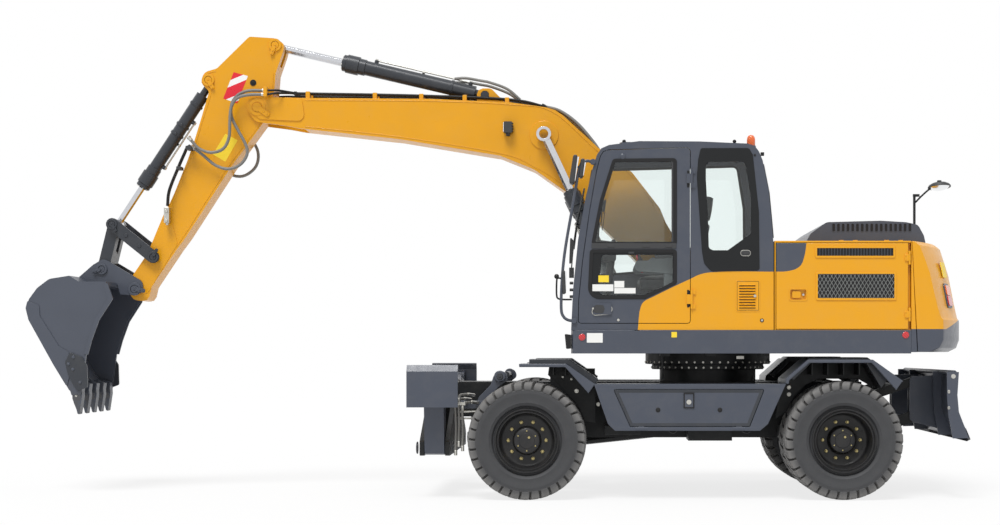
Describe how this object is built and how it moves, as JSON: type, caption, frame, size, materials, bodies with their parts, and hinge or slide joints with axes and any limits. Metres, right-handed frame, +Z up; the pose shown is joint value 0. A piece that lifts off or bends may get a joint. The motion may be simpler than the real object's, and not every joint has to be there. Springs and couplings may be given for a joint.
{
  "type": "wheeled excavator",
  "caption": "Wheeled excavator with twin tyres, slewing upper, hollow cab, hydraulic boom, arm and bucket, rear dozer blade and front outriggers.",
  "frame": {"origin": "bottom centre of the bounding box, on the ground between the wheels and the bucket", "axes": "+X from the bucket towards the counterweight, +Y from the cab side to the tank side, +Z up"},
  "size_m": [8.6574, 2.5, 4.2848],
  "materials": {
    "yellow_paint": "satin",
    "grey_paint": "satin",
    "black_paint": "satin",
    "rod_chrome": "polished",
    "tyre_rubber": "matte",
    "seat_fabric": "matte",
    "control_plastic": "matte",
    "cast_counterweight": "satin"
  },
  "bodies": {
    "chassis": {"chassis_frame": "black_paint", "front_axle": "black_paint", "rear_axle": "black_paint", "driveline": "black_paint", "side_box_left": "grey_paint", "side_box_right": "grey_paint"},
    "upper": {"deck": "grey_paint", "counterweight": "cast_counterweight", "engine_house": "yellow_paint", "engine": "black_paint", "tanks": "yellow_paint", "cab_shell": "grey_paint", "seat": "seat_fabric", "cab_controls": "control_plastic"},
    "knuckle_left": {"knuckle_left": "black_paint"},
    "knuckle_right": {"knuckle_right": "black_paint"},
    "wheel_front_left": {"rim_front_left": "black_paint", "tyre_inner_front_left": "tyre_rubber", "tyre_outer_front_left": "tyre_rubber"},
    "wheel_front_right": {"rim_front_right": "black_paint", "tyre_inner_front_right": "tyre_rubber", "tyre_outer_front_right": "tyre_rubber"},
    "wheel_rear_left": {"rim_rear_left": "black_paint", "tyre_inner_rear_left": "tyre_rubber", "tyre_outer_rear_left": "tyre_rubber"},
    "wheel_rear_right": {"rim_rear_right": "black_paint", "tyre_inner_rear_right": "tyre_rubber", "tyre_outer_rear_right": "tyre_rubber"},
    "box_door_left": {"box_door_left": "grey_paint"},
    "service_door_left": {"service_door_left": "yellow_paint"},
    "box_door_right": {"box_door_right": "grey_paint"},
    "service_door_right": {"service_door_right": "yellow_paint"},
    "cab_door": {"cab_door": "grey_paint"},
    "engine_hood": {"engine_hood": "grey_paint"},
    "outrigger_leg_left": {"outrigger_leg_left": "grey_paint"},
    "outrigger_pad_left": {"outrigger_pad_left": "grey_paint"},
    "outrigger_barrel_left": {"outrigger_barrel_left": "grey_paint"},
    "outrigger_rod_left": {"outrigger_rod_left": "rod_chrome"},
    "outrigger_leg_right": {"outrigger_leg_right": "grey_paint"},
    "outrigger_pad_right": {"outrigger_pad_right": "grey_paint"},
    "outrigger_barrel_right": {"outrigger_barrel_right": "grey_paint"},
    "outrigger_rod_right": {"outrigger_rod_right": "rod_chrome"},
    "blade_arms": {"blade_arms": "grey_paint"},
    "blade_links": {"blade_links": "grey_paint"},
    "blade": {"blade": "grey_paint"},
    "blade_barrel": {"blade_barrel": "grey_paint"},
    "blade_rod": {"blade_rod": "rod_chrome"},
    "boom": {"boom": "yellow_paint"},
    "boom_barrels": {"boom_barrels": "grey_paint"},
    "arm": {"arm": "yellow_paint"},
    "arm_barrel": {"arm_barrel": "grey_paint"},
    "arm_rod": {"arm_rod": "rod_chrome"},
    "bucket": {"bucket": "grey_paint"},
    "bucket_barrel": {"bucket_barrel": "grey_paint"},
    "bucket_rod": {"bucket_rod": "rod_chrome"},
    "rocker": {"rocker": "grey_paint"},
    "bucket_link": {"bucket_link": "grey_paint"},
    "boom_rods": {"boom_rod_left": "rod_chrome", "boom_rod_right": "rod_chrome"}
  },
  "joints": [
    {"name": "slew", "type": "hinge", "parent": "chassis", "child": "upper", "pos_m": [1.98373, 0, 1.2], "axis": [0, 0, 1], "continuous": true},
    {"name": "steer_left", "type": "hinge", "parent": "chassis", "child": "knuckle_left", "pos_m": [0.31173, -0.8, 0.525], "axis": [0, 0, 1], "range_deg": [-28, 28]},
    {"name": "steer_right", "type": "hinge", "parent": "chassis", "child": "knuckle_right", "pos_m": [0.31173, 0.8, 0.525], "axis": [0, 0, 1], "range_deg": [-28, 28]},
    {"name": "roll_front_left", "type": "hinge", "parent": "knuckle_left", "child": "wheel_front_left", "pos_m": [0.31173, -0.8, 0.525], "axis": [0, 1, 0], "continuous": true},
    {"name": "roll_front_right", "type": "hinge", "parent": "knuckle_right", "child": "wheel_front_right", "pos_m": [0.31173, 0.8, 0.525], "axis": [0, 1, 0], "continuous": true},
    {"name": "roll_rear_left", "type": "hinge", "parent": "chassis", "child": "wheel_rear_left", "pos_m": [3.11173, -0.8, 0.525], "axis": [0, 1, 0], "continuous": true},
    {"name": "roll_rear_right", "type": "hinge", "parent": "chassis", "child": "wheel_rear_right", "pos_m": [3.11173, 0.8, 0.525], "axis": [0, 1, 0], "continuous": true},
    {"name": "box_door_left", "type": "hinge", "parent": "chassis", "child": "box_door_left", "pos_m": [1.98373, -1.237, 0.637], "axis": [1, 0, 0], "range_deg": [0, 100]},
    {"name": "service_door_left", "type": "hinge", "parent": "upper", "child": "service_door_left", "pos_m": [3.68573, -1.236, 1.9], "axis": [0, 0, 1], "range_deg": [0, 110]},
    {"name": "box_door_right", "type": "hinge", "parent": "chassis", "child": "box_door_right", "pos_m": [1.98373, 1.237, 0.637], "axis": [-1, 0, 0], "range_deg": [0, 100]},
    {"name": "service_door_right", "type": "hinge", "parent": "upper", "child": "service_door_right", "pos_m": [3.68573, 1.236, 1.9], "axis": [0, 0, -1], "range_deg": [0, 110]},
    {"name": "cab_door", "type": "hinge", "parent": "upper", "child": "cab_door", "pos_m": [1.76673, -1.232, 2.3], "axis": [0, 0, 1], "range_deg": [0, 160]},
    {"name": "engine_hood", "type": "hinge", "parent": "upper", "child": "engine_hood", "pos_m": [3.38373, -0.866, 2.308], "axis": [1, 0, 0], "range_deg": [0, 60]},
    {"name": "outrigger_left", "type": "hinge", "parent": "chassis", "child": "outrigger_leg_left", "pos_m": [-0.52127, -0.95, 0.45], "axis": [1, 0, 0], "range_deg": [0, 110]},
    {"name": "outrigger_pad_left", "type": "hinge", "parent": "outrigger_leg_left", "child": "outrigger_pad_left", "pos_m": [-0.52127, -1.08, 1.05], "axis": [1, 0, 0], "range_deg": [-20.02, 0]},
    {"name": "outrigger_cylinder_left", "type": "hinge", "parent": "chassis", "child": "outrigger_barrel_left", "pos_m": [-0.52127, -0.2, 1], "axis": [1, 0, 0], "range_deg": [0, 9.35]},
    {"name": "outrigger_rod_left", "type": "slide", "parent": "outrigger_barrel_left", "child": "outrigger_rod_left", "axis": [0, -0.9506, -0.3103], "range_m": [-0.00002, 0.49918]},
    {"name": "outrigger_right", "type": "hinge", "parent": "chassis", "child": "outrigger_leg_right", "pos_m": [-0.52127, 0.95, 0.45], "axis": [-1, 0, 0], "range_deg": [0, 110]},
    {"name": "outrigger_pad_right", "type": "hinge", "parent": "outrigger_leg_right", "child": "outrigger_pad_right", "pos_m": [-0.52127, 1.08, 1.05], "axis": [-1, 0, 0], "range_deg": [-20.02, 0]},
    {"name": "outrigger_cylinder_right", "type": "hinge", "parent": "chassis", "child": "outrigger_barrel_right", "pos_m": [-0.52127, 0.2, 1], "axis": [-1, 0, 0], "range_deg": [0, 9.35]},
    {"name": "outrigger_rod_right", "type": "slide", "parent": "outrigger_barrel_right", "child": "outrigger_rod_right", "axis": [0, 0.9506, -0.3103], "range_m": [-0.00002, 0.49918]},
    {"name": "blade_lift", "type": "hinge", "parent": "chassis", "child": "blade_arms", "pos_m": [3.34373, 0, 0.545], "axis": [0, 1, 0], "range_deg": [0, 60]},
    {"name": "blade_level", "type": "hinge", "parent": "blade_arms", "child": "blade", "pos_m": [3.85373, 0, 0.72], "axis": [0, 1, 0], "range_deg": [-60, 0]},
    {"name": "blade_link", "type": "hinge", "parent": "chassis", "child": "blade_links", "pos_m": [3.34373, 0, 0.865], "axis": [0, 1, 0], "range_deg": [0, 60]},
    {"name": "blade_cylinder", "type": "hinge", "parent": "chassis", "child": "blade_barrel", "pos_m": [3.28373, 0, 0.99], "axis": [0, 1, 0], "range_deg": [0, 24.9]},
    {"name": "blade_rod", "type": "slide", "parent": "blade_barrel", "child": "blade_rod", "axis": [0.725, 0, -0.6887], "range_m": [-0.00002, 0.2304]},
    {"name": "boom_lift", "type": "hinge", "parent": "upper", "child": "boom", "pos_m": [1.88373, 0, 1.78], "axis": [0, 1, 0], "range_deg": [-48, 42]},
    {"name": "boom_cylinders", "type": "hinge", "parent": "upper", "child": "boom_barrels", "pos_m": [1.28373, 0, 1.54], "axis": [0, 1, 0], "range_deg": [-49.44, 43.26]},
    {"name": "boom_rods", "type": "slide", "parent": "boom_barrels", "child": "boom_rods", "axis": [-0.4251, 0, 0.9052], "range_m": [-0.46079, 0.40319]},
    {"name": "arm_swing", "type": "hinge", "parent": "boom", "child": "arm", "pos_m": [-2.26627, 0, 3.613], "axis": [0, -1, 0], "range_deg": [-54, 50]},
    {"name": "arm_cylinder", "type": "hinge", "parent": "boom", "child": "arm_barrel", "pos_m": [-0.13027, 0, 3.745], "axis": [0, -1, 0], "range_deg": [-1, 1.08]},
    {"name": "arm_rod", "type": "slide", "parent": "arm_barrel", "child": "arm_rod", "axis": [-0.9738, 0, 0.2272], "range_m": [-0.50896, 0.47126]},
    {"name": "bucket_curl", "type": "hinge", "parent": "arm", "child": "bucket", "pos_m": [-3.42327, 0, 1.901], "axis": [0, -1, 0], "range_deg": [-45, 100]},
    {"name": "rocker_swing", "type": "hinge", "parent": "arm", "child": "rocker", "pos_m": [-3.24427, 0, 2.202], "axis": [0, -1, 0], "range_deg": [-31.95, 71]},
    {"name": "bucket_link", "type": "hinge", "parent": "rocker", "child": "bucket_link", "pos_m": [-3.63027, 0, 2.512], "axis": [0, -1, 0], "range_deg": [-49, 22.05]},
    {"name": "bucket_cylinder", "type": "hinge", "parent": "arm", "child": "bucket_barrel", "pos_m": [-2.73627, 0, 3.876], "axis": [0, -1, 0], "range_deg": [-1.35, 3]},
    {"name": "bucket_rod", "type": "slide", "parent": "bucket_barrel", "child": "bucket_rod", "axis": [-0.5482, 0, -0.8364], "range_m": [-0.23564, 0.52362]}
  ],
  "couplings": [
    {"joint": "steer_right", "follows": "steer_left", "ratio": 1},
    {"joint": "outrigger_pad_left", "follows": "outrigger_left", "ratio": -0.182},
    {"joint": "outrigger_cylinder_left", "follows": "outrigger_left", "ratio": 0.085},
    {"joint": "outrigger_rod_left", "follows": "outrigger_left", "m_per_rad": 0.26},
    {"joint": "outrigger_pad_right", "follows": "outrigger_right", "ratio": -0.182},
    {"joint": "outrigger_cylinder_right", "follows": "outrigger_right", "ratio": 0.085},
    {"joint": "outrigger_rod_right", "follows": "outrigger_right", "m_per_rad": 0.26},
    {"joint": "blade_level", "follows": "blade_lift", "ratio": -1},
    {"joint": "blade_link", "follows": "blade_lift", "ratio": 1},
    {"joint": "blade_cylinder", "follows": "blade_lift", "ratio": 0.415},
    {"joint": "blade_rod", "follows": "blade_lift", "m_per_rad": 0.22},
    {"joint": "boom_cylinders", "follows": "boom_lift", "ratio": 1.03},
    {"joint": "boom_rods", "follows": "boom_lift", "m_per_rad": 0.55},
    {"joint": "arm_cylinder", "follows": "arm_swing", "ratio": -0.02},
    {"joint": "arm_rod", "follows": "arm_swing", "m_per_rad": 0.54},
    {"joint": "rocker_swing", "follows": "bucket_curl", "ratio": 0.71},
    {"joint": "bucket_link", "follows": "bucket_curl", "ratio": -0.49},
    {"joint": "bucket_cylinder", "follows": "bucket_curl", "ratio": 0.03},
    {"joint": "bucket_rod", "follows": "bucket_curl", "m_per_rad": 0.3}
  ]
}
